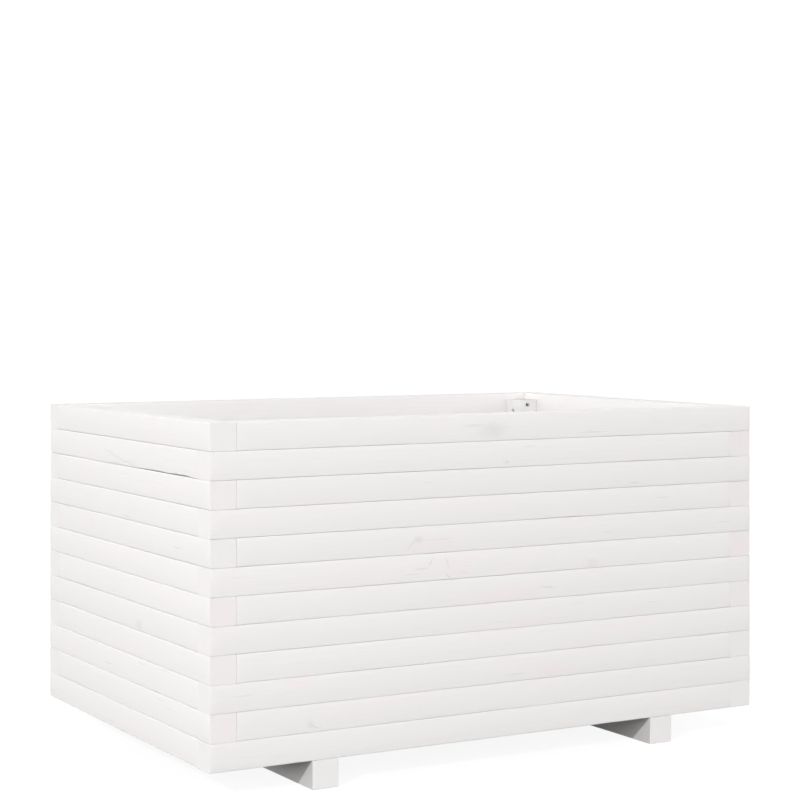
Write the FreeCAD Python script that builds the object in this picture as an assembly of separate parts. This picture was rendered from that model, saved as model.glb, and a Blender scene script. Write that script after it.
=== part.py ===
"""A floor planter of square pine battens, stacked in courses that lap past one another at the corners.

The walls stand on two foot bars that run from front to back. Inside, a post in each corner carries the
battens, which are screwed to it from within so that no head shows outside. The floor is boards with
drainage gaps, screwed down on the foot bars, the outer two notched round the posts.

Millimetres, +Z up. The length is along X, the front faces -Y, and the origin is on the ground under the
middle of the planter.
"""

import math
import os

import FreeCAD
import Part

from FreeCAD import Vector

# Overall size
LENGTH = 900.0  # along X, over the outer faces
DEPTH = 600.0  # along Y, over the outer faces
COURSES = 12  # battens in the height of a wall

# Wall battens
BATTEN_WIDTH = 38.0  # the thickness of a wall
BATTEN_HEIGHT = 38.0  # one course
BATTEN_EDGE_RADIUS = 0.8  # long edges, just eased
SAWN_END_RADIUS = 0.6  # sanded edges round the sawn ends of every bar
LARGEST_END_SHARE = 0.9  # of a bar's long-edge radius, which its end edges can't exceed

# Foot bars
FOOT_WIDTH = 39.0
FOOT_HEIGHT = 39.0
FOOT_INSET = 150.0  # from the planter's end to the outer side of a foot
FOOT_EDGE_RADIUS = 0.8

# Corner posts
POST_SIDE = 38.0
POST_DROP = 10.0  # from the rim down to the top of a post
POST_EDGE_RADIUS = 1.2

# Floor boards
FLOOR_BOARDS = 4
FLOOR_THICKNESS = 18.0
FLOOR_GAP = 9.0  # drainage, between boards and along the walls
FLOOR_END_GAP = 2.0  # from the end of a board to the wall
FLOOR_EDGE_RADIUS = 1.2
NOTCH_CLEARANCE = 2.0  # round a post
BOARD_SCREW_SHARE = 0.25  # of a board's width, from its edge to its screws

# Countersunk wood screws, with their threads left plain
SCREW_DIAMETER = 4.5
SCREW_HEAD_DIAMETER = 8.6
SCREW_HEAD_HEIGHT = 3.0
SCREW_RIM_HEIGHT = 0.6  # upright edge of the head
SCREW_TIP_LENGTH = 5.0
SCREW_HOLE_CLEARANCE = 0.1  # all round a screw
SCREW_STAGGER = 10.0  # from the screws of the long walls down to those of the short walls
RECESS_LENGTH = 4.6  # cross recess in the head
RECESS_WIDTH = 1.1
RECESS_DEPTH = 1.8
WALL_SCREW_COVER = 16.0  # wood left between a screw's point and the outer face of a wall
BASE_SCREW_COVER = 12.0  # wood left beyond a screw's point in a foot or in a bottom batten
COUNTERBORE_CLEARANCE = 1.2  # round the heads that are sunk in the feet

# Worked-out places
INNER_X = LENGTH / 2 - BATTEN_WIDTH  # inner face of an end wall
INNER_Y = DEPTH / 2 - BATTEN_WIDTH  # inner face of a long wall
POST_X = INNER_X - POST_SIDE / 2
POST_Y = INNER_Y - POST_SIDE / 2
RIM_Z = FOOT_HEIGHT + COURSES * BATTEN_HEIGHT
FOOT_X = LENGTH / 2 - FOOT_INSET - FOOT_WIDTH / 2
BOARD_WIDTH = (2 * INNER_Y - (FLOOR_BOARDS + 1) * FLOOR_GAP) / FLOOR_BOARDS
BOARD_LENGTH = 2 * (INNER_X - FLOOR_END_GAP)
FLOOR_TOP_Z = FOOT_HEIGHT + FLOOR_THICKNESS
WALL_SCREW_LENGTH = POST_SIDE + BATTEN_WIDTH - WALL_SCREW_COVER
BASE_SCREW_LENGTH = FLOOR_TOP_Z - BASE_SCREW_COVER
SUNK_HEAD_Z = FOOT_HEIGHT + BATTEN_HEIGHT - BASE_SCREW_COVER - BASE_SCREW_LENGTH

X_AXIS = Vector(1, 0, 0)
Y_AXIS = Vector(0, 1, 0)
Z_AXIS = Vector(0, 0, 1)
CENTRE = Vector(0, 0, 0)
SIDES = (-1, 1)
SAME_PLACE = 1e-6  # points nearer than this are one point


def bar_along_x(length, width, height, edge_radius):
    """A planed bar centred on the origin, with its long edges and the edges of its sawn ends eased."""
    bar = Part.makeBox(length, width, height, Vector(-length / 2, -width / 2, -height / 2))
    long_edges = [edge for edge in bar.Edges if edge.BoundBox.XLength > length - SAME_PLACE]
    bar = bar.makeFillet(edge_radius, long_edges)
    end_edges = [
        edge
        for edge in bar.Edges
        if all(abs(abs(point.X) - length / 2) < SAME_PLACE for point in edge.Vertexes)
        and edge.BoundBox.XLength < SAME_PLACE
    ]
    return bar.makeFillet(min(SAWN_END_RADIUS, LARGEST_END_SHARE * edge_radius), end_edges)


def turned_to_y(bar):
    """The same bar, lying along Y."""
    return bar.rotated(CENTRE, Z_AXIS, 90)


def turned_to_z(bar):
    """The same bar, standing on its end."""
    return bar.rotated(CENTRE, Y_AXIS, -90)


def pointing(shape, direction):
    """A shape made with its point towards -Z, turned so that it points along direction."""
    turn = FreeCAD.Rotation(-Z_AXIS, direction)
    return shape.rotated(CENTRE, turn.Axis, math.degrees(turn.Angle))


def screw(length):
    """A countersunk screw with its head's face at the origin and its point towards -Z."""
    head_radius = SCREW_HEAD_DIAMETER / 2
    shank_radius = SCREW_DIAMETER / 2
    outline = Part.makePolygon(
        [
            Vector(0, 0, 0),
            Vector(head_radius, 0, 0),
            Vector(head_radius, 0, -SCREW_RIM_HEIGHT),
            Vector(shank_radius, 0, -SCREW_HEAD_HEIGHT),
            Vector(shank_radius, 0, SCREW_TIP_LENGTH - length),
            Vector(0, 0, -length),
            Vector(0, 0, 0),
        ]
    )
    body = Part.Face(outline).revolve(CENTRE, Z_AXIS, 360)
    slot_size = (RECESS_LENGTH, RECESS_WIDTH, RECESS_DEPTH)
    slot = Part.makeBox(*slot_size, Vector(-RECESS_LENGTH / 2, -RECESS_WIDTH / 2, -RECESS_DEPTH))
    return body.cut([slot, turned_to_y(slot)])


def screw_hole(length):
    """The hole that a screw of this length sits in, with its countersink, placed as the screw is."""
    gap = SCREW_HOLE_CLEARANCE
    sink_radius = SCREW_HEAD_DIAMETER / 2 + gap
    bore_radius = SCREW_DIAMETER / 2 + gap
    outline = Part.makePolygon(
        [
            Vector(0, 0, gap),
            Vector(sink_radius, 0, gap),
            Vector(sink_radius, 0, -SCREW_RIM_HEIGHT),
            Vector(bore_radius, 0, -SCREW_HEAD_HEIGHT),
            Vector(bore_radius, 0, -length - gap),
            Vector(0, 0, -length - gap),
            Vector(0, 0, gap),
        ]
    )
    return Part.Face(outline).revolve(CENTRE, Z_AXIS, 360)


def course_middle(course):
    """The height of the middle of a course, counted from 1 at the bottom."""
    return FOOT_HEIGHT + (course - 0.5) * BATTEN_HEIGHT


def wall_screw_places():
    """Where each wall screw's head lies on its post, and the way that it points."""
    places = []
    face_x = INNER_X - POST_SIDE
    face_y = INNER_Y - POST_SIDE
    for side_x in SIDES:
        for side_y in SIDES:
            for course in range(1, COURSES + 1):
                height = course_middle(course)
                places.append((Vector(side_x * POST_X, side_y * face_y, height), Y_AXIS * side_y))
                height -= SCREW_STAGGER
                places.append((Vector(side_x * face_x, side_y * POST_Y, height), X_AXIS * side_x))
    return places


def board_middles():
    """The middle of each floor board across the planter, from the front to the back."""
    pitch = BOARD_WIDTH + FLOOR_GAP
    return [(number - (FLOOR_BOARDS - 1) / 2) * pitch for number in range(FLOOR_BOARDS)]


def base_screw_places():
    """Where the heads of the screws in the base lie: down through the boards, and up through the feet."""
    places = []
    from_middle = BOARD_WIDTH / 2 - BOARD_SCREW_SHARE * BOARD_WIDTH
    for side_x in SIDES:
        for middle in board_middles():
            for side_y in SIDES:
                head = Vector(side_x * FOOT_X, middle + side_y * from_middle, FLOOR_TOP_Z)
                places.append((head, -Z_AXIS))
        for side_y in SIDES:
            head = Vector(side_x * FOOT_X, side_y * (INNER_Y + BATTEN_WIDTH / 2), SUNK_HEAD_Z)
            places.append((head, Z_AXIS))
    return places


def placed(shape, places):
    """A copy of a shape at each place, pointing the way that goes with it."""
    return [pointing(shape, direction).translated(head) for head, direction in places]


def without(piece, holes):
    """The piece with those holes drilled in it that reach it."""
    box = piece.BoundBox
    near = [hole for hole in holes if box.intersect(hole.BoundBox)]
    return piece.cut(near) if near else piece


def counterbores():
    """The wide holes under the feet that the heads of the upward screws are sunk in."""
    radius = SCREW_HEAD_DIAMETER / 2 + COUNTERBORE_CLEARANCE
    return [
        Part.makeCylinder(radius, head.z, Vector(head.x, head.y, 0))
        for head, direction in base_screw_places()
        if direction.z > 0
    ]


def wall_battens(holes):
    """The battens of the four walls, numbered up from the bottom course.

    In each course every batten laps past one neighbour and butts against the other, and the next course
    laps the other way round.
    """
    section = (BATTEN_WIDTH, BATTEN_HEIGHT, BATTEN_EDGE_RADIUS)
    long_bar = bar_along_x(LENGTH - BATTEN_WIDTH, *section)
    short_bar = turned_to_y(bar_along_x(DEPTH - BATTEN_WIDTH, *section))
    wall_x = LENGTH / 2 - BATTEN_WIDTH / 2
    wall_y = DEPTH / 2 - BATTEN_WIDTH / 2
    battens = {}
    for course in range(1, COURSES + 1):
        lap = BATTEN_WIDTH / 2 if course % 2 == 0 else -BATTEN_WIDTH / 2
        height = course_middle(course)
        for wall, bar, place in (
            ("front", long_bar, Vector(lap, -wall_y, height)),
            ("back", long_bar, Vector(-lap, wall_y, height)),
            ("left", short_bar, Vector(-wall_x, -lap, height)),
            ("right", short_bar, Vector(wall_x, lap, height)),
        ):
            battens[f"{wall}_batten_{course:02d}"] = without(bar.translated(place), holes)
    return battens


def corner_posts(holes):
    """A post in each inner corner, from the bottom of the walls to just below the rim."""
    height = RIM_Z - POST_DROP - FOOT_HEIGHT
    post = turned_to_z(bar_along_x(height, POST_SIDE, POST_SIDE, POST_EDGE_RADIUS))
    posts = {}
    for front_or_back, side_y in (("front", -1), ("back", 1)):
        for left_or_right, side_x in (("left", -1), ("right", 1)):
            place = Vector(side_x * POST_X, side_y * POST_Y, FOOT_HEIGHT + height / 2)
            posts[f"corner_post_{front_or_back}_{left_or_right}"] = without(post.translated(place), holes)
    return posts


def foot_bars(holes):
    """The two bars that the planter stands on, flush with the front and the back."""
    bar = turned_to_y(bar_along_x(DEPTH, FOOT_WIDTH, FOOT_HEIGHT, FOOT_EDGE_RADIUS))
    feet = {}
    for left_or_right, side_x in (("left", -1), ("right", 1)):
        place = Vector(side_x * FOOT_X, 0, FOOT_HEIGHT / 2)
        feet[f"foot_{left_or_right}"] = without(bar.translated(place), holes + counterbores())
    return feet


def floor_boards(holes):
    """The boards of the floor, numbered from the front."""
    board = bar_along_x(BOARD_LENGTH, BOARD_WIDTH, FLOOR_THICKNESS, FLOOR_EDGE_RADIUS)
    notch_side = POST_SIDE + 2 * NOTCH_CLEARANCE
    notch = Part.makeBox(notch_side, notch_side, RIM_Z, Vector(-notch_side / 2, -notch_side / 2, 0))
    notches = [notch.translated(Vector(x * POST_X, y * POST_Y, 0)) for x in SIDES for y in SIDES]
    boards = {}
    for number, middle in enumerate(board_middles(), start=1):
        place = Vector(0, middle, FOOT_HEIGHT + FLOOR_THICKNESS / 2)
        boards[f"floor_board_{number}"] = without(board.translated(place), notches + holes)
    return boards


def planter():
    """Every piece of the planter by its name."""
    wall_holes = placed(screw_hole(WALL_SCREW_LENGTH), wall_screw_places())
    base_holes = placed(screw_hole(BASE_SCREW_LENGTH), base_screw_places())
    pieces = {}
    pieces.update(wall_battens(wall_holes + base_holes))
    pieces.update(corner_posts(wall_holes))
    pieces.update(foot_bars(base_holes))
    pieces.update(floor_boards(base_holes))
    pieces["wall_screws"] = Part.makeCompound(placed(screw(WALL_SCREW_LENGTH), wall_screw_places()))
    pieces["base_screws"] = Part.makeCompound(placed(screw(BASE_SCREW_LENGTH), base_screw_places()))
    return pieces


def main():
    os.makedirs("parts", exist_ok=True)
    for name, piece in planter().items():
        piece.exportStep(f"parts/{name}.step")


main()
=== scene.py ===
"""The looks of a slatted planter: white satin paint over square pine battens, lapped at the corners.

The wall battens are modelled here, each a little uneven as planed timber is, and so are the screws, with
their cross recess. The foot bars, corner posts and floor boards are the frame's own solids in a better
finish. Sizes are in metres.
"""

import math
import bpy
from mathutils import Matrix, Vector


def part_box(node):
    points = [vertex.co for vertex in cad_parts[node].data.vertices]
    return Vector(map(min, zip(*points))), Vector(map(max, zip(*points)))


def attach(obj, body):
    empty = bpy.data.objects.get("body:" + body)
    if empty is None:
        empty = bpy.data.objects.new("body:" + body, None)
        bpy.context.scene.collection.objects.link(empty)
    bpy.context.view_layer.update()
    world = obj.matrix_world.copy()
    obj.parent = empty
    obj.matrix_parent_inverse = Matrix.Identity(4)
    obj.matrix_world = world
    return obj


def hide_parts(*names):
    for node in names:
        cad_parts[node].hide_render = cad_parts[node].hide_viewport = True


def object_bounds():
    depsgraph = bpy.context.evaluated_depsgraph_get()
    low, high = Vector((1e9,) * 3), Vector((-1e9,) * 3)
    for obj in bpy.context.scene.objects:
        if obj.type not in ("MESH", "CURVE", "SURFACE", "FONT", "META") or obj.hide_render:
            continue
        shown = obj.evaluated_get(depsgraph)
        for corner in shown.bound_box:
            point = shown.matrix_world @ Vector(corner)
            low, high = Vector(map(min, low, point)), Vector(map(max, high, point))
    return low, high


bl_info = {
    "name": "White Slatted Planter",
    "version": (1, 0, 0),
    "blender": (4, 5, 0),
    "location": "View3D > Sidebar > Planter",
    "description": "Dresses the packed frame of a slatted planter in painted pine and zinc-plated steel",
    "category": "Object",
}

import bmesh
import bpy
from bpy.props import FloatProperty, FloatVectorProperty, PointerProperty
from mathutils import Matrix, Vector, noise

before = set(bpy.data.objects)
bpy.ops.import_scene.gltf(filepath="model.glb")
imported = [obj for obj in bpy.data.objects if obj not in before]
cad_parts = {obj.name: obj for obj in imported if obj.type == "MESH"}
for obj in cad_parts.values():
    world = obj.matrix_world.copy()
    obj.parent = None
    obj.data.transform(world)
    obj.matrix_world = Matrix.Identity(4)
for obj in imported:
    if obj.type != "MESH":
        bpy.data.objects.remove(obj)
CAD_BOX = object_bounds()

MM = 0.001
BODY = "root"

# The frame's pieces
BATTENS = sorted(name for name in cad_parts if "_batten_" in name)
POSTS = sorted(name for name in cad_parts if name.startswith("corner_post_"))
FEET = sorted(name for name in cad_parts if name.startswith("foot_"))
BOARDS = sorted(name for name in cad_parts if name.startswith("floor_board_"))
SCREWS = ("wall_screws", "base_screws")


def node_middle(name):
    low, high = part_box(name)
    return (low + high) / 2


def node_size(name):
    low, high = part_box(name)
    return high - low


COURSE = node_size("front_batten_01").z
FOOT_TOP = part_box("front_batten_01")[0].z
FRONT_FACE = CAD_BOX[0].y
LEFT_FACE = CAD_BOX[0].x

# What catches the eye on the two walls seen first. Each mark is its place along the wall, its height above
# the ground, its length and its height, in mm, and its turn in degrees.
FRONT_MARKS = {
    "smudges": ((-13, 473, 56, 30, 0), (-136, 326, 20, 12, 0), (-304, 88, 14, 14, 0)),
    "dashes": (
        (-145, 320, 34, 3.4, 37),
        (-117, 293, 22, 3.0, 55),
        (-132, 285, 34, 3.2, 4),
        (-88, 291, 24, 3.6, -62),
        (-88, 272, 18, 3.6, -40),
        (-60, 275, 20, 2.6, 0),
        (80, 245, 50, 3.0, 0),
        (9, 426, 18, 3.4, 0),
        (-296, 85, 30, 3.0, -12),
    ),
    "bleeds": (
        (-118, 317, 110, 24, 0),
        (-72, 286, 60, 28, 0),
        (0, 239, 180, 26, 0),
        (45, 199, 110, 20, 0),
        (90, 128, 90, 20, 0),
        (-318, 146, 60, 22, 0),
    ),
}
LEFT_MARKS = {
    "smudges": ((-60, 200, 30, 16, 0),),
    "dashes": (
        (-4, 427, 170, 3.2, 6),
        (30, 421, 120, 2.6, 2),
        (52, 436, 70, 2.6, 9),
        (-150, 150, 70, 2.6, -3),
    ),
}

# Lower outer edges that stand off the batten below: middle and length along the batten, and the gap, in mm
GAPING_EDGES = {
    "front_batten_07": ((-74, 16, 0.5),),
    "front_batten_08": ((-118, 20, 0.6),),
    "front_batten_09": ((-139, 16, 0.4), (92, 20, 0.5), (141, 20, 0.5)),
    "front_batten_11": ((252, 24, 0.6),),
    "front_batten_12": ((327, 26, 0.5),),
    "left_batten_03": ((-140, 40, 0.5),),
    "left_batten_06": ((172, 60, 0.6),),
    "left_batten_11": ((-135, 120, 1.4), (-222, 84, 2.0)),
}

# Places of the cuts along the faces of a batten, as shares of their half width, closer towards the edges
FACE_CUTS = (-0.96, -0.88, -0.6, -0.3, 0, 0.3, 0.6, 0.88, 0.96)

# The gape of a left or right batten, in lengths of the batten: so long that it hardly fades at the ends
SIDE_GAPE_REACH = 4

# Shape of a countersunk wood screw
SCREW_SIDES = 16
HEAD_RADIUS = 4.3 * MM
HEAD_RIM = 0.6 * MM
HEAD_HEIGHT = 3.0 * MM
SHANK_RADIUS = 2.25 * MM
TIP_LENGTH = 5.0 * MM
RECESS_RADIUS = 2.3 * MM
RECESS_DEPTH = 2.2 * MM
RECESS_WAIST = 0.35  # of its radius, where two arms of the cross meet
RECESS_TAPER = 0.5  # of its width, at the bottom

# Painted shade: shares of the paint's colour taken away, standing in for shade: from the top to the bottom
# of each batten, on the faces inside the planter, and on the sides of the foot bars under the planter
WALL_PAINTED_SHADE = 0.04
INNER_PAINTED_SHADE = 0.12
FOOT_PAINTED_SHADE = 0.15

# How far round the inner edges of a batten the painted shade inside the planter reaches
EDGE_REACH = 1.2 * MM

# How far resin tints the sawn ends of the most resinous battens, as a share
LONG_BATTEN_RESIN = 0.2
END_BATTEN_RESIN = 0.7

# Height of the cells of bars that lie in one row, and the shifts, in cells, that put the row well inside one
ROW_HEIGHT = 0.2
FOOT_SHIFT = (0, 0.4)
BOARD_SHIFT = (0, 0.3)

# Light of the soft boxes by the sine of the angle above the horizon, as shares of the brightest
SOFT_BOXES = ((0.04, 0.1), (0.13, 0.9), (0.22, 1.0), (0.4, 0.5), (0.7, 0.0))

# Light of the soft box overhead, which is only seen in reflections, as a share of the brightest, and the
# sines of the angles at which it starts and is full
OVERHEAD_GLINT = 0.3
OVERHEAD_START = 0.8
OVERHEAD_FULL = 0.95

# Width of the camera's sensor, in mm
SENSOR_WIDTH = 36.0

# Height of the white walls round the floor, and how far the ground lies under it
FLOOR_WALL_HEIGHT = 40.0
GROUND_DEPTH = 0.2 * MM

# Sockets of a Mix node that mixes colours
MIX_A = 6
MIX_B = 7
MIX_RESULT = 2


def linear(hex_colour):
    """An sRGB hex value as linear red, green and blue."""
    channels = [int(hex_colour[at:at + 2], 16) / 255 for at in (0, 2, 4)]
    return [c / 12.92 if c <= 0.04045 else ((c + 0.055) / 1.055) ** 2.4 for c in channels]


def rgba(colour):
    return (*colour, 1.0)


class PlanterTimber(bpy.types.PropertyGroup):
    """How the battens were machined, and how far the timber has moved since."""

    edge_radius: FloatProperty(
        name="Edge radius",
        description="Rounding of the long edges of the front and back battens",
        default=0.64 * MM,
        subtype="DISTANCE",
    )
    side_edge_radius: FloatProperty(
        name="Side edge radius",
        description="Rounding of the long edges of the left and right battens",
        default=0.72 * MM,
        subtype="DISTANCE",
    )
    side_gape: FloatProperty(
        name="Side gape",
        description="How far the lower outer edges of the left and right battens stand off the batten below",
        default=0.15 * MM,
        subtype="DISTANCE",
    )
    end_radius: FloatProperty(
        name="End radius",
        description="Sanding of the edges round the sawn ends",
        default=0.3 * MM,
        subtype="DISTANCE",
    )
    crown: FloatProperty(
        name="Crown",
        description="How far the long edges of a face lie behind its middle",
        default=0.15 * MM,
        subtype="DISTANCE",
    )
    roll: FloatProperty(
        name="Roll",
        description="How much further the lower edge of an upright face lies back",
        default=0.25 * MM,
        subtype="DISTANCE",
    )
    bow: FloatProperty(
        name="Bow",
        description="How far a face wanders inwards along its length",
        default=0.12 * MM,
        subtype="DISTANCE",
    )
    edge_wander: FloatProperty(
        name="Edge wander",
        description="How far the long edges are planed away in places",
        default=0.2 * MM,
        subtype="DISTANCE",
    )
    chip: FloatProperty(
        name="Chip",
        description="Depth of the small chips here and there on the long edges",
        default=0.6 * MM,
        subtype="DISTANCE",
    )
    joint_gap: FloatProperty(
        name="Joint gap",
        description="Gap where the left or front end of a batten meets the side of another",
        default=0.2 * MM,
        subtype="DISTANCE",
    )
    end_play: FloatProperty(
        name="End play",
        description="How far a sawn end may lie behind the wall beside it",
        default=0.2 * MM,
        subtype="DISTANCE",
    )
    section: FloatProperty(
        name="Section length",
        description="Length of the stretches that a batten is divided into",
        default=8 * MM,
        subtype="DISTANCE",
    )
    year_ring: FloatProperty(
        name="Year ring",
        description="Width of a year's growth in the log",
        default=3.4 * MM,
        subtype="DISTANCE",
    )


class PlanterFinish(bpy.types.PropertyGroup):
    """Colours of the paint, of the wood that shows through it, and of the screws."""

    paint: FloatVectorProperty(
        name="Paint",
        description="White satin paint where it covers well",
        default=linear("E8E6E5"),
        size=3,
        subtype="COLOR",
    )
    bleed: FloatVectorProperty(
        name="Resin bleed",
        description="Paint that resin has tinted, near knots and in heartwood",
        default=linear("EBE3E4"),
        size=3,
        subtype="COLOR",
    )
    knot: FloatVectorProperty(
        name="Knot",
        description="Paint over the middle of a knot",
        default=linear("DFDDDA"),
        size=3,
        subtype="COLOR",
    )
    pocket: FloatVectorProperty(
        name="Resin pocket",
        description="Paint over a thin pocket of resin or bark",
        default=linear("DAD8D4"),
        size=3,
        subtype="COLOR",
    )
    zinc: FloatVectorProperty(
        name="Zinc plating",
        description="Bright zinc on the screws",
        default=linear("C3C6CA"),
        size=3,
        subtype="COLOR",
    )


class PlanterStage(bpy.types.PropertyGroup):
    """The camera, the light and the floor."""

    camera_place: FloatVectorProperty(
        name="Camera place",
        description="Where the camera stands",
        default=(-1.5149, -2.6450, 0.6423),
        size=3,
        subtype="TRANSLATION",
    )
    camera_turn: FloatProperty(
        name="Camera turn",
        description="How far the level camera is turned to the right of straight ahead",
        default=math.radians(29.92),
        subtype="ANGLE",
    )
    lens: FloatProperty(
        name="Lens",
        description="Focal length on a 36 mm sensor, in millimetres",
        default=88.9,
    )
    camera_shift: FloatProperty(
        name="Camera shift",
        description="Vertical lens shift that puts the horizon above the middle of the picture",
        default=-0.1133,
    )
    key_place: FloatVectorProperty(
        name="Key place",
        description="Where the key lamp stands, far off to the front left",
        default=(-7.16, -5.36, 4.61),
        size=3,
        subtype="TRANSLATION",
    )
    key_radius: FloatProperty(
        name="Key radius",
        description="Size of the key lamp, which softens the edges of shadows",
        default=0.09,
        subtype="DISTANCE",
    )
    key_strength: FloatProperty(
        name="Key light",
        description="Power of the key lamp, in watts",
        default=1744.0,
    )
    fill_place: FloatVectorProperty(
        name="Fill place",
        description="Where the fill lamp stands, so near that the walls grow darker with distance from it",
        default=(-2.3, -2.55, 1.0),
        size=3,
        subtype="TRANSLATION",
    )
    fill_radius: FloatProperty(
        name="Fill radius",
        description="Size of the fill lamp",
        default=0.4,
        subtype="DISTANCE",
    )
    fill_strength: FloatProperty(
        name="Fill light",
        description="Power of the fill lamp, in watts",
        default=22.5,
    )
    back_place: FloatVectorProperty(
        name="Back place",
        description="Where the back lamp stands, low, so that the back and right walls differ in tone",
        default=(2.2, 6.0, 0.9),
        size=3,
        subtype="TRANSLATION",
    )
    back_radius: FloatProperty(
        name="Back radius",
        description="Size of the back lamp",
        default=0.4,
        subtype="DISTANCE",
    )
    back_strength: FloatProperty(
        name="Back light",
        description="Power of the back lamp, in watts",
        default=400.0,
    )
    soft_strength: FloatProperty(
        name="Soft light",
        description="Strength of the white light from soft boxes all round",
        default=3.42,
    )
    ground_glow: FloatProperty(
        name="Ground glow",
        description="Strength of the soft light that the ground sends up to the planter",
        default=0.06,
    )
    floor_shade: FloatProperty(
        name="Floor shade",
        description="How much the planter's shadow shows on the white floor",
        default=0.17,
        subtype="FACTOR",
    )


def add_node(tree, kind, inputs=None, **settings):
    """Adds a shader node with its settings. An input is a value, or the output socket that feeds it."""
    node = tree.nodes.new("ShaderNode" + kind)
    for name, value in settings.items():
        setattr(node, name, value)
    for name, value in (inputs or {}).items():
        if isinstance(value, bpy.types.NodeSocket):
            tree.links.new(value, node.inputs[name])
        else:
            node.inputs[name].default_value = value
    return node


def new_material(name):
    """A material with an empty node tree."""
    material = bpy.data.materials.new(name)
    material.use_nodes = True
    material.node_tree.nodes.clear()
    return material, material.node_tree


# Turns that bring the grain of a bar to X, and the axes that it lies along before
GRAIN_TURNS = {"X": (0, 0, 0), "Y": (0, 0, math.radians(-90)), "Z": (0, math.radians(90), 0)}
GRAIN_AXES = {"X": (1, 0, 0), "Y": (0, 1, 0), "Z": (0, 0, 1)}

# What shows through the paint: length along the grain and width across it, in mm, and how ragged it is
GRAIN_PATTERNS = {
    "fibres": (50, 1.5, 3.0),  # coarser than real fibres, which are too fine to show
    "brush": (250, 4, 1.0),
    "bleed": (150, 30, 1.0),
    "pockets": (60, 2.5, 0.0),
}


def sawn_from_log(tree, along_x, cell, first_cell):
    """A point in the log that each bar was sawn from, a draw for the bar, and how high up it a point is.

    The pith runs along X. A bar has a cell of the grid to itself, and its draws put it somewhere along the
    log and up to 50 mm off the pith.
    """
    log_length = 9.0
    pith_range = 0.1
    in_cells = add_node(
        tree,
        "Mapping",
        {"Vector": along_x, "Scale": (0, 1 / cell[0], 1 / cell[1]), "Location": (0, *first_cell)},
    )
    index = add_node(tree, "VectorMath", {0: in_cells.outputs[0]}, operation="FLOOR")
    share = add_node(tree, "VectorMath", {0: in_cells.outputs[0]}, operation="FRACTION")
    draw = add_node(tree, "TexWhiteNoise", {"Vector": index.outputs[0]})
    along = add_node(tree, "VectorMath", {0: along_x, 1: (1, 0, 0)}, operation="MULTIPLY")
    in_bar = add_node(
        tree,
        "VectorMath",
        {0: share.outputs[0], 1: (0, *cell), 2: along.outputs[0]},
        operation="MULTIPLY_ADD",
    )
    shifted = add_node(
        tree,
        "VectorMath",
        {0: draw.outputs["Color"], 1: (log_length, pith_range, pith_range), 2: in_bar.outputs[0]},
        operation="MULTIPLY_ADD",
    )
    pith = (0, (cell[0] + pith_range) / 2, (cell[1] + pith_range) / 2)
    point = add_node(tree, "VectorMath", {0: shifted.outputs[0], 1: pith}, operation="SUBTRACT")
    levels = add_node(tree, "SeparateXYZ", {0: share.outputs[0]})
    return point.outputs[0], draw.outputs["Value"], levels.outputs[2]


def gnarled(tree, point):
    """A place bent this way and that by a few millimetres, so that what is drawn there isn't straight."""
    gnarl_size = 14 * MM
    gnarl_depth = 7 * MM
    gnarl = add_node(tree, "TexNoise", {"Vector": point, "Scale": 1 / gnarl_size, "Detail": 1.0})
    bend = add_node(
        tree,
        "VectorMath",
        {0: gnarl.outputs["Color"], 1: [gnarl_depth] * 3, 2: [-gnarl_depth / 2] * 3},
        operation="MULTIPLY_ADD",
    )
    return add_node(tree, "VectorMath", {0: point, 1: bend.outputs[0]}, operation="ADD").outputs[0]


def knot_radii_away(tree, point):
    """How many knot radii a point of the log is from the nearest knot. Knots are long, gnarled and rare."""
    cell = Vector((280 * MM, 60 * MM, 60 * MM))
    squeeze = Vector((0.7, 1, 1))
    smallest = 5 * MM
    largest = 11 * MM
    share_kept = 0.12
    far_off = 100.0
    in_cells = add_node(tree, "VectorMath", {0: gnarled(tree, point), 1: cell}, operation="DIVIDE")
    nearest = add_node(tree, "TexVoronoi", {"Vector": in_cells.outputs[0], "Scale": 1.0})
    offset = add_node(
        tree, "VectorMath", {0: in_cells.outputs[0], 1: nearest.outputs["Position"]}, operation="SUBTRACT"
    )
    real_offset = add_node(
        tree, "VectorMath", {0: offset.outputs[0], 1: cell * squeeze}, operation="MULTIPLY"
    )
    distance = add_node(tree, "VectorMath", {0: real_offset.outputs[0]}, operation="LENGTH")
    draws = add_node(tree, "SeparateColor", {0: nearest.outputs["Color"]})
    radius = add_node(tree, "MapRange", {0: draws.outputs[1], "To Min": smallest, "To Max": largest})
    radii = add_node(
        tree, "Math", {0: distance.outputs["Value"], 1: radius.outputs[0]}, operation="DIVIDE"
    )
    left_out = add_node(tree, "Math", {0: draws.outputs[0], 1: share_kept}, operation="GREATER_THAN")
    away = add_node(
        tree, "Math", {0: left_out.outputs[0], 1: far_off, 2: radii.outputs[0]}, operation="MULTIPLY_ADD"
    )
    return away.outputs[0]


# Where a mark is at its full strength and where it ends, in its own radii
MARK_EDGES = {"smudges": (0.0, 1.3), "dashes": (0.0, 1.0), "bleeds": (0.3, 1.2)}


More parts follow.
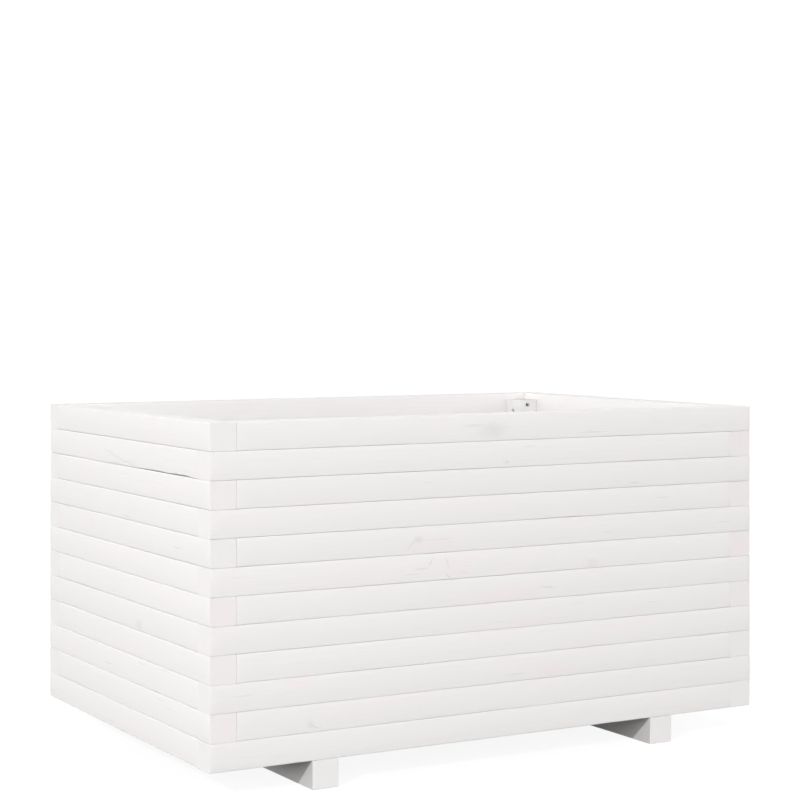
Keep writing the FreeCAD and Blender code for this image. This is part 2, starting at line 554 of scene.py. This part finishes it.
def wall_marks(tree, along_x, depth, marks):
    """The strength, from 0 to 1, of each kind of mark on the wall at a depth. A kind that it lacks gets 0."""
    bent = gnarled(tree, along_x)
    strengths = {}
    for kind, (full, end) in MARK_EDGES.items():
        strengths[kind] = 0.0
        for along, up, length, height, turn in marks.get(kind, ()):
            shape = add_node(
                tree,
                "Mapping",
                {
                    "Vector": bent,
                    "Location": (along * MM, depth, up * MM),
                    "Rotation": (0, math.radians(-turn), 0),
                    "Scale": (length / 2 * MM, COURSE / 2, height / 2 * MM),
                },
                vector_type="TEXTURE",
            )
            radii = add_node(tree, "VectorMath", {0: shape.outputs[0]}, operation="LENGTH")
            inside = add_node(
                tree,
                "MapRange",
                {
                    "Value": radii.outputs["Value"],
                    "From Min": full,
                    "From Max": end,
                    "To Min": 1.0,
                    "To Max": 0.0,
                },
                interpolation_type="SMOOTHSTEP",
            )
            either = add_node(tree, "Math", {0: inside.outputs[0], 1: strengths[kind]}, operation="MAXIMUM")
            strengths[kind] = either.outputs[0]
    return strengths


def year_rings(tree, point, swirl):
    """The dark late wood of each year, from 0 to 1, wavering along the log and swept aside by its knots."""
    timber = bpy.context.scene.planter_timber
    waver_length = 400 * MM
    waver_width = 70 * MM
    waver_depth = 12 * MM
    swept = 8 * MM
    sharpness = 3.0
    faint_share = 0.4
    slow = add_node(
        tree, "VectorMath", {0: point, 1: (waver_length, waver_width, waver_width)}, operation="DIVIDE"
    )
    waver = add_node(tree, "TexNoise", {"Vector": slow.outputs[0], "Scale": 1.0, "Detail": 2.0})
    bent = add_node(
        tree,
        "VectorMath",
        {0: waver.outputs["Color"], 1: (0, waver_depth, waver_depth), 2: point},
        operation="MULTIPLY_ADD",
    )
    across = add_node(tree, "VectorMath", {0: bent.outputs[0], 1: (0, 1, 1)}, operation="MULTIPLY")
    from_pith = add_node(tree, "VectorMath", {0: across.outputs[0]}, operation="LENGTH")
    pushed = add_node(
        tree, "Math", {0: swirl, 1: swept, 2: from_pith.outputs["Value"]}, operation="MULTIPLY_ADD"
    )
    years = add_node(tree, "Math", {0: pushed.outputs[0], 1: timber.year_ring}, operation="DIVIDE")
    season = add_node(tree, "Math", {0: years.outputs[0]}, operation="FRACT")
    late_wood = add_node(tree, "Math", {0: season.outputs[0], 1: sharpness}, operation="POWER")
    clearness = add_node(tree, "MapRange", {"Value": swirl, "To Min": faint_share, "To Max": 1.0})
    seen = add_node(tree, "Math", {0: late_wood.outputs[0], 1: clearness.outputs[0]}, operation="MULTIPLY")
    return seen.outputs[0]


def painted_pine(name, grain, cell, first_cell, resin=0.0, painted_bottom_shade=0.0, depth=0.0, marks=None, painted_shade_scale=1.0):
    """White satin paint, brushed on planed pine.

    To the eye it is a soft, even white. Year rings, fibres and brush marks only just show in it, with a
    little pink where resin has bled through, grey smudges over the knots and thin dark dashes over pockets
    of resin. The cells are the room that each bar has to itself across the grain, and resin is how far the
    ends are tinted. The last argument scales the colour of all the faces, 1 for none, to darken them as
    painted shade. Painted shade also takes a given share of the colour away from the top of a bar to its
    bottom, darker towards the bottom. A wall has a depth, from the middle of the planter to its outer face,
    and marks, and the faces inside it are darkened as painted shade.
    """
    # In radii of a knot: where the grain swirls most and where it stops, and where the knot's grey ends
    swirl_full, swirl_end = 0.4, 3.0
    smudge_end = 1.5
    smudge_share = 0.7

    # Where each of these starts and is full: squareness to the grain, a bar's draw, and three patterns
    end_start, end_full = 0.7, 0.95
    resinous_start, resinous_full = 0.3, 0.8
    patch_start, patch_full = 0.57, 0.75
    pocket_start, pocket_full = 0.8, 0.92
    brush_low, brush_high = 0.3, 0.7

    # Shares of resin that bleed through: in patches, near knots and at the listed places
    patch_bleed = 0.35
    swirl_bleed = 0.4
    listed_bleed = 0.7

    # Tone of the sawn ends, and what late wood adds to it
    end_brightness = 1.01
    end_late_wood = -0.015

    # Roughness where the brush left the paint smooth and where it left it rough, and the paint's shine
    smoothest, roughest = 0.54, 0.66
    shine = 0.3

    finish = bpy.context.scene.planter_finish
    material, tree = new_material(name)
    place = add_node(tree, "TexCoord")
    turned = add_node(tree, "Mapping", {"Vector": place.outputs["Object"], "Rotation": GRAIN_TURNS[grain]})
    point, bar_draw, level = sawn_from_log(tree, turned.outputs[0], cell, first_cell)
    listed = wall_marks(tree, turned.outputs[0], depth, marks or {})
    knot_radii = knot_radii_away(tree, point)
    swirl = add_node(
        tree,
        "MapRange",
        {"Value": knot_radii, "From Min": swirl_full, "From Max": swirl_end, "To Min": 1.0, "To Max": 0.0},
        interpolation_type="SMOOTHERSTEP",
    )
    late_wood = year_rings(tree, point, swirl.outputs[0])
    patterns = {}
    for pattern, (length, width, detail) in GRAIN_PATTERNS.items():
        size = (length * MM, width * MM, width * MM)
        scaled = add_node(tree, "VectorMath", {0: point, 1: size}, operation="DIVIDE")
        blotches = add_node(tree, "TexNoise", {"Vector": scaled.outputs[0], "Scale": 1.0, "Detail": detail})
        patterns[pattern] = blotches.outputs[0]

    # Resin bleeds in patches, near the knots and at some of the ends
    facing = add_node(
        tree, "VectorMath", {0: place.outputs["Normal"], 1: GRAIN_AXES[grain]}, operation="DOT_PRODUCT"
    )
    squareness = add_node(tree, "Math", {0: facing.outputs["Value"]}, operation="ABSOLUTE")
    end_share = add_node(
        tree, "MapRange", {"Value": squareness.outputs[0], "From Min": end_start, "From Max": end_full}
    )
    resinous = add_node(
        tree,
        "MapRange",
        {"Value": bar_draw, "From Min": resinous_start, "From Max": resinous_full, "To Max": resin},
    )
    patches = add_node(
        tree,
        "MapRange",
        {"Value": patterns["bleed"], "From Min": patch_start, "From Max": patch_full, "To Max": patch_bleed},
        interpolation_type="SMOOTHSTEP",
    )
    bleed = patches.outputs[0]
    bleeding = (
        (swirl.outputs[0], swirl_bleed),
        (listed["bleeds"], listed_bleed),
        (end_share.outputs[0], resinous.outputs[0]),
    )
    for value, weight in bleeding:
        bleed = add_node(
            tree, "Math", {0: value, 1: weight, 2: bleed}, operation="MULTIPLY_ADD", use_clamp=True
        ).outputs[0]

    # Knots are grey, and resin pockets are thin dark dashes
    smudge = add_node(
        tree,
        "MapRange",
        {"Value": knot_radii, "From Max": smudge_end, "To Min": smudge_share, "To Max": 0.0},
        interpolation_type="SMOOTHSTEP",
    )
    smudges = add_node(tree, "Math", {0: smudge.outputs[0], 1: listed["smudges"]}, operation="MAXIMUM")
    pocket = add_node(
        tree, "MapRange", {"Value": patterns["pockets"], "From Min": pocket_start, "From Max": pocket_full}
    )
    pockets = add_node(tree, "Math", {0: pocket.outputs[0], 1: listed["dashes"]}, operation="MAXIMUM")
    colour = rgba(finish.paint)
    tints = (
        (bleed, finish.bleed),
        (smudges.outputs[0], finish.knot),
        (pockets.outputs[0], finish.pocket),
    )
    for share, tint in tints:
        colour = add_node(
            tree, "Mix", {"Factor": share, MIX_A: colour, MIX_B: rgba(tint)}, data_type="RGBA"
        ).outputs[MIX_RESULT]

    # Shares of the colour that each pattern adds or takes away, on the faces and on the ends. The share by
    # height up a bar is painted shade, darker towards the bottom
    tones = (
        (bar_draw, 0.02),
        (late_wood, -0.035),
        (patterns["fibres"], 0.045),
        (patterns["brush"], 0.02),
        # Painted shade: darker towards the bottom of each bar
        (level, painted_bottom_shade),
    )
    # Scaling the faces' colour below 1 paints shade on them
    tone = painted_shade_scale - sum(weight for _, weight in tones) / 2
    if depth:
        # Painted shade: the faces inside a wall are darkened
        inner_face = abs(depth) - COURSE + EDGE_REACH
        across = add_node(tree, "SeparateXYZ", {0: turned.outputs[0]})
        from_middle = add_node(tree, "Math", {0: across.outputs[1]}, operation="ABSOLUTE")
        inside = add_node(tree, "Math", {0: from_middle.outputs[0], 1: inner_face}, operation="LESS_THAN")
        tones += ((inside.outputs[0], -INNER_PAINTED_SHADE),)
    for value, weight in tones:
        tone = add_node(tree, "Math", {0: value, 1: weight, 2: tone}, operation="MULTIPLY_ADD").outputs[0]
    end_tone = add_node(
        tree, "Math", {0: late_wood, 1: end_late_wood, 2: end_brightness}, operation="MULTIPLY_ADD"
    )
    toned = add_node(
        tree, "MapRange", {"Value": end_share.outputs[0], "To Min": tone, "To Max": end_tone.outputs[0]}
    )
    shaded = add_node(tree, "VectorMath", {0: colour, "Scale": toned.outputs[0]}, operation="SCALE")

    # Heights in mm: raised fibres and late wood, brush marks, and sunken resin pockets
    heights = (
        (patterns["fibres"], 0.03),
        (late_wood, 0.06),
        (patterns["brush"], 0.05),
        (pockets.outputs[0], -0.1),
    )
    height = 0.0
    for value, weight in heights:
        height = add_node(tree, "Math", {0: value, 1: weight, 2: height}, operation="MULTIPLY_ADD").outputs[0]
    relief = add_node(tree, "Bump", {"Height": height, "Distance": MM})
    gloss = add_node(
        tree,
        "MapRange",
        {
            "Value": patterns["brush"],
            "From Min": brush_low,
            "From Max": brush_high,
            "To Min": smoothest,
            "To Max": roughest,
        },
    )
    shader = add_node(
        tree,
        "BsdfPrincipled",
        {
            "Base Color": shaded.outputs[0],
            "Roughness": gloss.outputs[0],
            "Specular IOR Level": shine,
            "Normal": relief.outputs[0],
        },
    )
    add_node(tree, "OutputMaterial", {"Surface": shader.outputs[0]})
    return material


def zinc_plate():
    """Bright zinc on steel: a bluish metal, faintly mottled by the barrel that it was plated in."""
    finish = bpy.context.scene.planter_finish
    mottle_size = 2 * MM
    mottle_low, mottle_high = 0.3, 0.7
    darkest_share = 0.85
    smoothest, roughest = 0.28, 0.45
    material, tree = new_material("Bright zinc-plated steel")
    place = add_node(tree, "TexCoord")
    mottle = add_node(
        tree, "TexNoise", {"Vector": place.outputs["Object"], "Scale": 1 / mottle_size, "Detail": 2.0}
    )
    mottling = {"Value": mottle.outputs[0], "From Min": mottle_low, "From Max": mottle_high}
    shade = add_node(tree, "MapRange", {**mottling, "To Min": darkest_share, "To Max": 1.0})
    colour = add_node(tree, "VectorMath", {0: finish.zinc, "Scale": shade.outputs[0]}, operation="SCALE")
    gloss = add_node(tree, "MapRange", {**mottling, "To Min": smoothest, "To Max": roughest})
    shader = add_node(
        tree,
        "BsdfPrincipled",
        {"Base Color": colour.outputs[0], "Metallic": 1.0, "Roughness": gloss.outputs[0]},
    )
    add_node(tree, "OutputMaterial", {"Surface": shader.outputs[0]})
    return material


def cut_across(bar, place, normal):
    """Divides every face of a bar that a plane crosses."""
    on_plane = 1e-7
    everything = [*bar.verts, *bar.edges, *bar.faces]
    bmesh.ops.bisect_plane(bar, geom=everything, dist=on_plane, plane_co=place, plane_no=normal)


def planed_bar(length, width, height, edge_radius):
    """A bar along X about the origin with eased edges, and cuts enough for its faces to be shaped."""
    long_edge_segments = 4
    end_edge_segments = 3
    end_squareness = 0.99  # of the faces that stay flat
    timber = bpy.context.scene.planter_timber
    bar = bmesh.new()
    bmesh.ops.create_cube(bar, size=1.0)
    bmesh.ops.scale(bar, vec=(length, width, height), verts=bar.verts)
    long_edges = [edge for edge in bar.edges if edge.calc_length() > length - MM]
    bmesh.ops.bevel(
        bar,
        geom=long_edges,
        offset=edge_radius,
        offset_type="OFFSET",
        segments=long_edge_segments,
        profile=0.5,
        affect="EDGES",
        material=-1,
    )
    end_edges = [edge for edge in bar.edges if abs(edge.verts[0].co.x + edge.verts[1].co.x) > length - MM]
    bmesh.ops.bevel(
        bar,
        geom=end_edges,
        offset=timber.end_radius,
        offset_type="OFFSET",
        segments=end_edge_segments,
        profile=0.5,
        affect="EDGES",
        material=-1,
    )
    sections = round(length / timber.section)
    for number in range(1, sections):
        cut_across(bar, ((number / sections - 0.5) * length, 0, 0), (1, 0, 0))
    for share in FACE_CUTS:
        cut_across(bar, (0, share * (width / 2 - edge_radius), 0), (0, 1, 0))
        cut_across(bar, (0, 0, share * (height / 2 - edge_radius)), (0, 0, 1))
    for face in bar.faces:
        face.smooth = abs(face.normal.x) < end_squareness
    return bar


def unevenness(along, length_scale, *draws):
    """A smooth wander from 0 to 1 along a bar, another for each pair of draws."""
    return 0.5 + 0.5 * noise.noise(Vector((along / length_scale, *draws)))


def weather(bar, half, number, outer, ends_show, gapes):
    """Moves a bar's faces, edges and ends inwards a little, as planing and drying do, each bar its own way.

    The outer side is +1 or -1. Ends that show follow the wall beside them, and others leave a gap at a
    joint. The gapes are the middles, lengths and gaps of stretches where the lower outer edge stands off the
    batten below. The draws given to each unevenness are any numbers that differ from bar to bar.
    """
    timber = bpy.context.scene.planter_timber
    edge_start = 1.88  # side plus level where a face goes over into its edge
    chip_start = 0.74  # unevenness from which an edge is chipped
    lifted_power = 8  # keeps a gape to the lower edge
    flat_crown = 0.3  # crown of the upper and lower faces, as a share of that of the upright ones
    steady_gape = 0.5  # share of a gape that doesn't waver

    # Lengths over which each thing wanders
    wander_length = 30 * MM
    chip_length = 9 * MM
    bow_length = 250 * MM
    gape_length = 20 * MM
    end_length = 8.0  # in half widths of the sawn end

    for vertex in bar.verts:
        along, across, up = vertex.co
        side = across / half.y
        level = up / half.z
        side_sign = math.copysign(1, side)
        level_sign = math.copysign(1, level)
        edge = max(0.0, abs(side) + abs(level) - edge_start) / (2 - edge_start)
        corner = 2 * side_sign + level_sign
        worn = timber.edge_wander * unevenness(along, wander_length, 3.1 * corner, 1.7 * number)
        roughness = unevenness(along, chip_length, 4.3 * corner, 3.3 * number)
        chipped = max(0.0, roughness - chip_start) / (1 - chip_start)
        worn = edge * (worn + timber.chip * chipped)
        side_bow = timber.bow * unevenness(along, bow_length, 5.3 * side_sign, 2.3 * number)
        level_bow = timber.bow * unevenness(along, bow_length, 7.9 * level_sign, 2.9 * number)
        outwards = max(0.0, side * outer)
        crown = timber.crown * level ** 2
        roll = timber.roll * min(0.0, level) ** 2
        vertex.co.y -= side * (crown + side_bow) + outer * outwards * roll + side_sign * worn
        vertex.co.z -= level * (flat_crown * timber.crown * side ** 2 + level_bow) + level_sign * worn
        for middle, length, gap in gapes:
            reach = max(0.0, 1 - ((along - middle) / (length / 2)) ** 2)
            lift = gap * reach * outwards * max(0.0, -level) ** lifted_power
            waver = (1 - steady_gape) * unevenness(along, gape_length, 6.1, 2.1 * number)
            vertex.co.z += lift * (steady_gape + waver)
        if abs(along) > half.x - MM:
            end_sign = math.copysign(1, along)
            play = timber.end_play * unevenness(side + 3 * level, end_length, 2.7 * end_sign, 3.7 * number)
            if ends_show:
                vertex.co.x -= end_sign * (crown + roll + play)
            elif end_sign < 0:
                vertex.co.x += timber.joint_gap


def add_piece(name, shape, material, node):
    """Makes an object of a shape, in place of a solid of the frame."""
    mesh = bpy.data.meshes.new(name)
    shape.to_mesh(mesh)
    shape.free()
    mesh.materials.append(material)
    piece = bpy.data.objects.new(name, mesh)
    bpy.context.scene.collection.objects.link(piece)
    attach(piece, BODY)
    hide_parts(node)


def dress(nodes, material):
    """Gives the frame's own solids a finish."""
    for name in nodes:
        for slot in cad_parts[name].material_slots:
            slot.material = material


class PLANTER_OT_wall_battens(bpy.types.Operator):
    """Models the wall battens, course by course"""

    bl_idname = "planter.wall_battens"
    bl_label = "Wall battens"

    def execute(self, context):
        first_cell = (0, -FOOT_TOP / COURSE)
        long_cell = (2 * node_middle("back_batten_01").y, COURSE)
        end_cell = (2 * node_middle("right_batten_01").x, COURSE)
        # Both walls' paints darken each batten towards its bottom, and the inside of the wall, as painted
        # shade
        paints = {
            "X": painted_pine(
                "White painted pine, long battens",
                "X",
                long_cell,
                first_cell,
                LONG_BATTEN_RESIN,
                WALL_PAINTED_SHADE,
                FRONT_FACE,
                FRONT_MARKS,
            ),
            "Y": painted_pine(
                "White painted pine, end battens",
                "Y",
                end_cell,
                first_cell,
                END_BATTEN_RESIN,
                WALL_PAINTED_SHADE,
                -LEFT_FACE,
                LEFT_MARKS,
            ),
        }
        timber = context.scene.planter_timber
        radii = {"X": timber.edge_radius, "Y": timber.side_edge_radius}
        turns = {"X": Matrix.Identity(4), "Y": Matrix.Rotation(math.radians(90), 4, "Z")}
        full_size = CAD_BOX[1] - CAD_BOX[0]
        full_lengths = {"X": full_size.x, "Y": full_size.y}
        bars = {}
        for number, node in enumerate(BATTENS):
            size = node_size(node)
            grain = "X" if size.x > size.y else "Y"
            length = max(size.x, size.y)
            width = min(size.x, size.y)
            stock = round(length / MM)
            if stock not in bars:
                bars[stock] = planed_bar(length, width, size.z, radii[grain])
            bar = bars[stock].copy()
            middle = node_middle(node)
            outer = math.copysign(1, (turns[grain].inverted() @ middle).y)
            ends_show = length > full_lengths[grain] - MM
            gapes = [[value * MM for value in gape] for gape in GAPING_EDGES.get(node, ())]
            if grain == "Y":
                gapes.append((0, SIDE_GAPE_REACH * length, timber.side_gape))
            weather(bar, Vector((length, width, size.z)) / 2, number, outer, ends_show, gapes)
            place = Matrix.Translation(middle) @ turns[grain]
            bmesh.ops.transform(bar, matrix=place, verts=bar.verts)
            add_piece("painted_" + node, bar, paints[grain], node)
        for bar in bars.values():
            bar.free()
        return {"FINISHED"}


class PLANTER_OT_foot_bars(bpy.types.Operator):
    """Paints the two foot bars"""

    bl_idname = "planter.foot_bars"
    bl_label = "Foot bars"

    def execute(self, context):
        cell = (2 * node_middle("foot_right").x, ROW_HEIGHT)
        name = "White painted pine, foot bars"
        # Painted shade: the foot bars' colour is darkened, standing in for the shade under the planter
        dress(FEET, painted_pine(name, "Y", cell, FOOT_SHIFT, painted_shade_scale=1 - FOOT_PAINTED_SHADE))
        return {"FINISHED"}


class PLANTER_OT_corner_posts(bpy.types.Operator):
    """Paints the corner posts"""

    bl_idname = "planter.corner_posts"
    bl_label = "Corner posts"

    def execute(self, context):
        post = node_middle("corner_post_back_right")
        cell = (2 * post.y, 2 * post.x)
        name = "White painted pine, corner posts"
        # Painted shade: the posts' colour is darkened, as they stand inside the planter
        dress(POSTS, painted_pine(name, "Z", cell, (0, 0), painted_shade_scale=1 - INNER_PAINTED_SHADE))
        return {"FINISHED"}


class PLANTER_OT_floor_boards(bpy.types.Operator):
    """Paints the floor boards"""

    bl_idname = "planter.floor_boards"
    bl_label = "Floor boards"

    def execute(self, context):
        pitch = node_middle("floor_board_2").y - node_middle("floor_board_1").y
        cell = (pitch, ROW_HEIGHT)
        name = "White painted pine, floor boards"
        # Painted shade: the boards' colour is darkened, as they lie inside the planter
        dress(BOARDS, painted_pine(name, "X", cell, BOARD_SHIFT, painted_shade_scale=1 - INNER_PAINTED_SHADE))
        return {"FINISHED"}


def separate_solids(name):
    """The corners of a node's solids, one list for each solid."""
    same_place = 0.01 * MM
    merged = bmesh.new()
    merged.from_mesh(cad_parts[name].data)
    bmesh.ops.remove_doubles(merged, verts=merged.verts, dist=same_place)
    merged.verts.index_update()
    found = set()
    solids = []
    for start in merged.verts:
        if start.index in found:
            continue
        found.add(start.index)
        reached = [start]
        for vertex in reached:
            for edge in vertex.link_edges:
                neighbour = edge.other_vert(vertex)
                if neighbour.index not in found:
                    found.add(neighbour.index)
                    reached.append(neighbour)
        solids.append([vertex.co.copy() for vertex in reached])
    merged.free()
    return solids


def screw_place(corners):
    """A matrix that puts a screw's head where a solid has it, and the screw's length."""
    low = Vector([min(axis) for axis in zip(*corners)])
    high = Vector([max(axis) for axis in zip(*corners)])
    middle = (low + high) / 2
    size = high - low
    along = max(range(3), key=lambda axis: size[axis])
    across = [axis for axis in range(3) if axis != along]
    # The head is the widest part
    widest = max(corners, key=lambda corner: sum((corner[axis] - middle[axis]) ** 2 for axis in across))
    outwards = Vector((0, 0, 0))
    outwards[along] = math.copysign(1, widest[along] - middle[along])
    turn = outwards.to_track_quat("Z", "Y").to_matrix().to_4x4()
    return Matrix.Translation(middle + outwards * size[along] / 2) @ turn, size[along]


def wood_screw(length):
    """A countersunk screw that points down from the origin, with a cross recess in its head."""
    screw = bmesh.new()
    bmesh.ops.create_circle(screw, cap_ends=True, radius=HEAD_RADIUS, segments=SCREW_SIDES)
    half_side = Matrix.Rotation(math.pi / SCREW_SIDES, 3, "Z")
    bmesh.ops.rotate(screw, matrix=half_side, verts=screw.verts)
    outline = list(screw.edges)
    head = list(screw.faces)
    bmesh.ops.inset_region(screw, faces=head, thickness=HEAD_RADIUS - RECESS_RADIUS, use_even_offset=True)
    for vertex in head[0].verts:
        if min(abs(vertex.co.x), abs(vertex.co.y)) > RECESS_WAIST * RECESS_RADIUS:
            vertex.co *= RECESS_WAIST
    bottom = bmesh.ops.extrude_discrete_faces(screw, faces=head)["faces"][0]
    bmesh.ops.scale(screw, vec=(RECESS_TAPER, RECESS_TAPER, 1), verts=bottom.verts)
    bmesh.ops.translate(screw, vec=(0, 0, -RECESS_DEPTH), verts=bottom.verts)
    rings = (
        (1, -HEAD_RIM),
        (SHANK_RADIUS / HEAD_RADIUS, HEAD_RIM - HEAD_HEIGHT),
        (1, HEAD_HEIGHT + TIP_LENGTH - length),
    )
    for widening, fall in rings:
        grown = bmesh.ops.extrude_edge_only(screw, edges=outline)["geom"]
        outline = [part for part in grown if isinstance(part, bmesh.types.BMEdge)]
        ring = [part for part in grown if isinstance(part, bmesh.types.BMVert)]
        bmesh.ops.scale(screw, vec=(widening, widening, 1), verts=ring)
        bmesh.ops.translate(screw, vec=(0, 0, fall), verts=ring)
    grown = bmesh.ops.extrude_edge_only(screw, edges=outline)["geom"]
    tip = [part for part in grown if isinstance(part, bmesh.types.BMVert)]
    bmesh.ops.pointmerge(screw, verts=tip, merge_co=(0, 0, -length))
    bmesh.ops.recalc_face_normals(screw, faces=screw.faces)
    return screw


class PLANTER_OT_screws(bpy.types.Operator):
    """Models the screws, which show inside the planter and under it"""

    bl_idname = "planter.screws"
    bl_label = "Screws"

    def execute(self, context):
        plating = zinc_plate()
        for node in SCREWS:
            together = bmesh.new()
            for corners in separate_solids(node):
                place, length = screw_place(corners)
                screw = wood_screw(length)
                bmesh.ops.transform(screw, matrix=place, verts=screw.verts)
                mesh = bpy.data.meshes.new("screw")
                screw.to_mesh(mesh)
                screw.free()
                together.from_mesh(mesh)
                bpy.data.meshes.remove(mesh)
            add_piece("zinc_" + node, together, plating, node)
        return {"FINISHED"}


def add_ground(name, height, wall_height, material):
    """A wide square of the stage at a height, with walls round it that face inwards."""
    half_width = 30.0
    mesh = bpy.data.meshes.new(name)
    ground = bmesh.new()
    bmesh.ops.create_grid(ground, x_segments=1, y_segments=1, size=half_width)
    walls = bmesh.ops.extrude_edge_only(ground, edges=ground.edges)["geom"]
    tops = [part for part in walls if isinstance(part, bmesh.types.BMVert)]
    bmesh.ops.translate(ground, vec=(0, 0, wall_height), verts=tops)
    bmesh.ops.translate(ground, vec=(0, 0, height), verts=ground.verts)
    ground.to_mesh(mesh)
    ground.free()
    mesh.materials.append(material)
    piece = bpy.data.objects.new(name, mesh)
    bpy.context.scene.collection.objects.link(piece)
    return piece


def white_paper(shade):
    """Seamless white paper that glows so as to stay white, keeps a faint shadow and is clear from below."""
    glow = 0.9
    material, tree = new_material("White studio paper")
    side = add_node(tree, "NewGeometry")
    paper = add_node(
        tree,
        "BsdfPrincipled",
        {
            "Base Color": rgba([shade] * 3),
            "Roughness": 1.0,
            "Specular IOR Level": 0.0,
            "Emission Color": rgba([1.0] * 3),
            "Emission Strength": glow,
        },
    )
    clear = add_node(tree, "BsdfTransparent")
    both = add_node(
        tree, "MixShader", {"Fac": side.outputs["Backfacing"], 1: paper.outputs[0], 2: clear.outputs[0]}
    )
    add_node(tree, "OutputMaterial", {"Surface": both.outputs[0]})
    return material


def glowing_ground(strength):
    """A ground that glows evenly, so that the walls get as much light from below as higher up."""
    material, tree = new_material("Glowing ground")
    glow = add_node(tree, "Emission", {"Strength": strength})
    add_node(tree, "OutputMaterial", {"Surface": glow.outputs[0]})
    return material


class PLANTER_OT_stage(bpy.types.Operator):
    """Sets up the camera, the light and the floor"""

    bl_idname = "planter.stage"
    bl_label = "Stage"

    def execute(self, context):
        stage = context.scene.planter_stage
        camera_data = bpy.data.cameras.new("camera")
        camera_data.lens = stage.lens
        camera_data.sensor_width = SENSOR_WIDTH
        camera_data.shift_y = stage.camera_shift
        camera = bpy.data.objects.new("camera", camera_data)
        camera.location = stage.camera_place
        camera.rotation_euler = (math.radians(90), 0, -stage.camera_turn)
        context.scene.collection.objects.link(camera)
        context.scene.camera = camera

        # The white floor is only seen, and the ground just under it only gives light
        floor = add_ground("floor", 0.0, FLOOR_WALL_HEIGHT, white_paper(stage.floor_shade))
        floor.visible_diffuse = False
        floor.visible_glossy = False
        floor.visible_transmission = False
        floor.visible_shadow = False
        ground = add_ground("ground", -GROUND_DEPTH, 0.0, glowing_ground(stage.ground_glow))
        ground.visible_camera = False
        ground.visible_glossy = False

        # The back lamp faces the camera, so it gives no glints
        lamps = (
            ("key", stage.key_place, stage.key_radius, stage.key_strength, True),
            ("fill", stage.fill_place, stage.fill_radius, stage.fill_strength, True),
            ("back", stage.back_place, stage.back_radius, stage.back_strength, False),
        )
        for name, place, radius, power, glints in lamps:
            lamp_data = bpy.data.lights.new(name, "POINT")
            lamp_data.energy = power
            lamp_data.shadow_soft_size = radius
            lamp = bpy.data.objects.new(name, lamp_data)
            lamp.location = place
            lamp.visible_glossy = glints
            context.scene.collection.objects.link(lamp)

        world = bpy.data.worlds.new("Studio")
        world.use_nodes = True
        tree = world.node_tree
        tree.nodes.clear()
        direction = add_node(tree, "TexCoord")
        axes = add_node(tree, "SeparateXYZ", {0: direction.outputs["Generated"]})
        boxes = add_node(tree, "ValToRGB", {"Fac": axes.outputs[2]})
        for place, share in SOFT_BOXES:
            boxes.color_ramp.elements.new(place).color = rgba([share] * 3)
        boxes.color_ramp.elements.remove(boxes.color_ramp.elements[0])
        boxes.color_ramp.elements.remove(boxes.color_ramp.elements[-1])
        rays = add_node(tree, "LightPath")
        overhead = add_node(
            tree,
            "MapRange",
            {
                "Value": axes.outputs[2],
                "From Min": OVERHEAD_START,
                "From Max": OVERHEAD_FULL,
                "To Max": OVERHEAD_GLINT,
            },
        )
        glint = add_node(
            tree, "Math", {0: overhead.outputs[0], 1: rays.outputs["Is Glossy Ray"]}, operation="MULTIPLY"
        )
        light = add_node(tree, "VectorMath", {0: boxes.outputs[0], 1: glint.outputs[0]}, operation="ADD")
        background = add_node(
            tree, "Background", {"Color": light.outputs[0], "Strength": stage.soft_strength}
        )
        add_node(tree, "OutputWorld", {"Surface": background.outputs[0]})
        context.scene.world = world
        context.scene.view_settings.view_transform = "Standard"
        return {"FINISHED"}


class PLANTER_PT_panel(bpy.types.Panel):
    """Lists the steps that dress the planter"""

    bl_idname = "PLANTER_PT_panel"
    bl_label = "Slatted Planter"
    bl_space_type = "VIEW_3D"
    bl_region_type = "UI"
    bl_category = "Planter"

    def draw(self, context):
        for operator in OPERATORS:
            self.layout.operator(operator.bl_idname)


SETTINGS = {"planter_timber": PlanterTimber, "planter_finish": PlanterFinish, "planter_stage": PlanterStage}
OPERATORS = (
    PLANTER_OT_wall_battens,
    PLANTER_OT_foot_bars,
    PLANTER_OT_corner_posts,
    PLANTER_OT_floor_boards,
    PLANTER_OT_screws,
    PLANTER_OT_stage,
)


def register():
    for name, group in SETTINGS.items():
        bpy.utils.register_class(group)
        setattr(bpy.types.Scene, name, PointerProperty(type=group))
    for part in (*OPERATORS, PLANTER_PT_panel):
        bpy.utils.register_class(part)


def unregister():
    for part in (PLANTER_PT_panel, *reversed(OPERATORS)):
        bpy.utils.unregister_class(part)
    for name, group in SETTINGS.items():
        delattr(bpy.types.Scene, name)
        bpy.utils.unregister_class(group)


def main():
    register()
    bpy.ops.planter.wall_battens()
    bpy.ops.planter.foot_bars()
    bpy.ops.planter.corner_posts()
    bpy.ops.planter.floor_boards()
    bpy.ops.planter.screws()
    bpy.ops.planter.stage()


if __name__ == "__main__":
    main()
